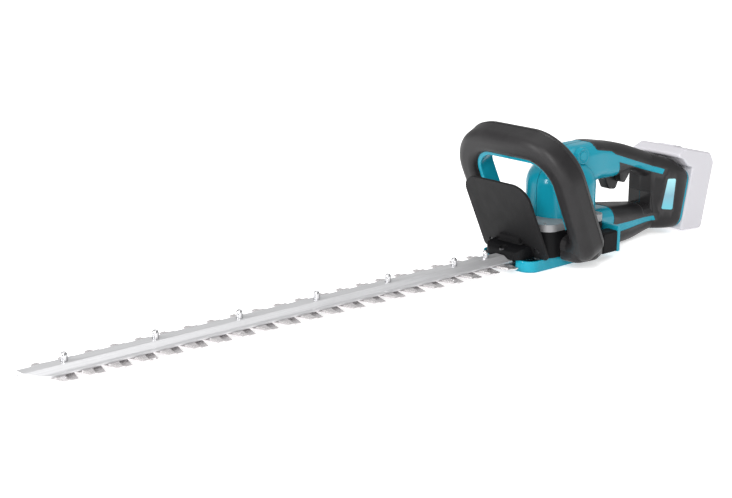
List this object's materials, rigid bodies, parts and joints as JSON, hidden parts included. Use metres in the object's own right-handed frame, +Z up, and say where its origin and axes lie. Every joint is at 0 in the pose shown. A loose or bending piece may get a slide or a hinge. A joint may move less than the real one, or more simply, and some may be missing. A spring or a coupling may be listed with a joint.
{
  "type": "hedge trimmer",
  "caption": "Cordless hedge trimmer: two toothed blades slide against each other under a bar, driven by a geared motor, with a loop front handle, hand guard and rear grip with a battery.",
  "frame": {"origin": "on the crank's axis, in the plane of the under cover's flat bottom, which the tool stands on", "axes": "+X backwards from the blade's tip to the battery, +Z up, +Y to the left seen from the blade's tip"},
  "size_m": [0.9694, 0.178, 0.1673],
  "materials": {
    "bar": "satin",
    "blade": "brushed",
    "nut": "polished",
    "steel": "satin",
    "gear": "oiled",
    "case": "powder coated",
    "plate": "die cast",
    "teal": "glossy",
    "grip": "soft matte",
    "guard": "matte",
    "black": "matte",
    "screw": "dark",
    "copper": "enamelled copper",
    "panel": "glossy",
    "pack": "glossy",
    "cell": "film",
    "board": "lacquered",
    "contact": "polished"
  },
  "bodies": {
    "frame": {"guide_bar": "bar", "blade_bolts": "steel", "cap_nuts": "nut", "slide_bushes": "steel", "crank_lower_bearing": "steel", "crank_upper_bearing": "steel", "motor_lower_bearing": "steel", "motor_upper_bearing": "steel", "motor_stator": "gear", "stator_windings": "copper", "gear_case": "case", "bar_screws": "screw", "motor_plate": "plate", "under_cover": "teal", "case_screws": "screw", "hand_guard": "guard", "guard_screws": "screw", "side_labels": "panel", "housing_left": "teal", "housing_right": "teal", "grip_cover_left": "grip", "grip_cover_right": "grip", "housing_screws": "screw", "side_caps": "teal", "front_handle": "grip", "front_handle_back": "grip", "front_switch": "black", "handle_screws": "screw", "handle_clamps": "case", "trigger_pin": "steel", "trigger_spring": "steel", "trigger_switch": "black", "controller_board": "board", "battery_terminal": "black"},
    "crank": {"crankshaft": "steel", "crank_gear": "gear", "upper_eccentric": "steel", "lower_eccentric": "steel"},
    "motor": {"motor_shaft": "steel", "motor_rotor": "gear", "motor_pinion": "gear", "cooling_fan": "black"},
    "upper_blade_set": {"upper_blade": "blade", "upper_drive_yoke": "steel", "upper_yoke_rivets": "steel"},
    "lower_blade_set": {"lower_blade": "blade", "lower_drive_yoke": "steel", "lower_yoke_rivets": "steel"},
    "lever": {"front_lever": "teal", "lever_springs": "steel"},
    "rear_trigger": {"trigger": "black"},
    "battery": {"battery_case": "pack", "battery_lid": "pack", "battery_cells": "cell", "battery_contacts": "contact"},
    "pack_button": {"release_button": "pack"}
  },
  "joints": [
    {"name": "crank_turn", "type": "hinge", "parent": "frame", "child": "crank", "pos_m": [0, 0, 0.02], "axis": [0, 0, 1], "range_deg": [-30, 150]},
    {"name": "lower_blade_slide", "type": "slide", "parent": "frame", "child": "lower_blade_set", "axis": [1, 0, 0], "range_m": [-0.0119, 0.00238]},
    {"name": "upper_blade_slide", "type": "slide", "parent": "frame", "child": "upper_blade_set", "axis": [1, 0, 0], "range_m": [-0.00238, 0.0119]},
    {"name": "motor_turn", "type": "hinge", "parent": "frame", "child": "motor", "pos_m": [0.024, 0, 0.06], "axis": [0, 0, 1], "range_deg": [-571, 115]},
    {"name": "lever_press", "type": "slide", "parent": "frame", "child": "lever", "axis": [-0.4179, 0, 0.9085], "range_m": [0, 0.004], "stiffness_N_per_m": 1200},
    {"name": "trigger_squeeze", "type": "hinge", "parent": "frame", "child": "rear_trigger", "pos_m": [0.11, 0, 0.095], "axis": [0, -1, 0], "range_deg": [0, 9], "stiffness_Nm_per_rad": 0.6},
    {"name": "battery_slide", "type": "slide", "parent": "frame", "child": "battery", "axis": [0.225, 0, 0.9744], "range_m": [0, 0.06]},
    {"name": "pack_button_press", "type": "slide", "parent": "battery", "child": "pack_button", "axis": [-0.225, 0, -0.9744], "range_m": [0, 0.0025], "stiffness_N_per_m": 600}
  ],
  "couplings": [
    {"joint": "upper_blade_slide", "follows": "lower_blade_slide", "ratio": -1},
    {"joint": "crank_turn", "follows": "lower_blade_slide", "rad_per_m": -219.91},
    {"joint": "motor_turn", "follows": "lower_blade_slide", "rad_per_m": 835.65}
  ]
}
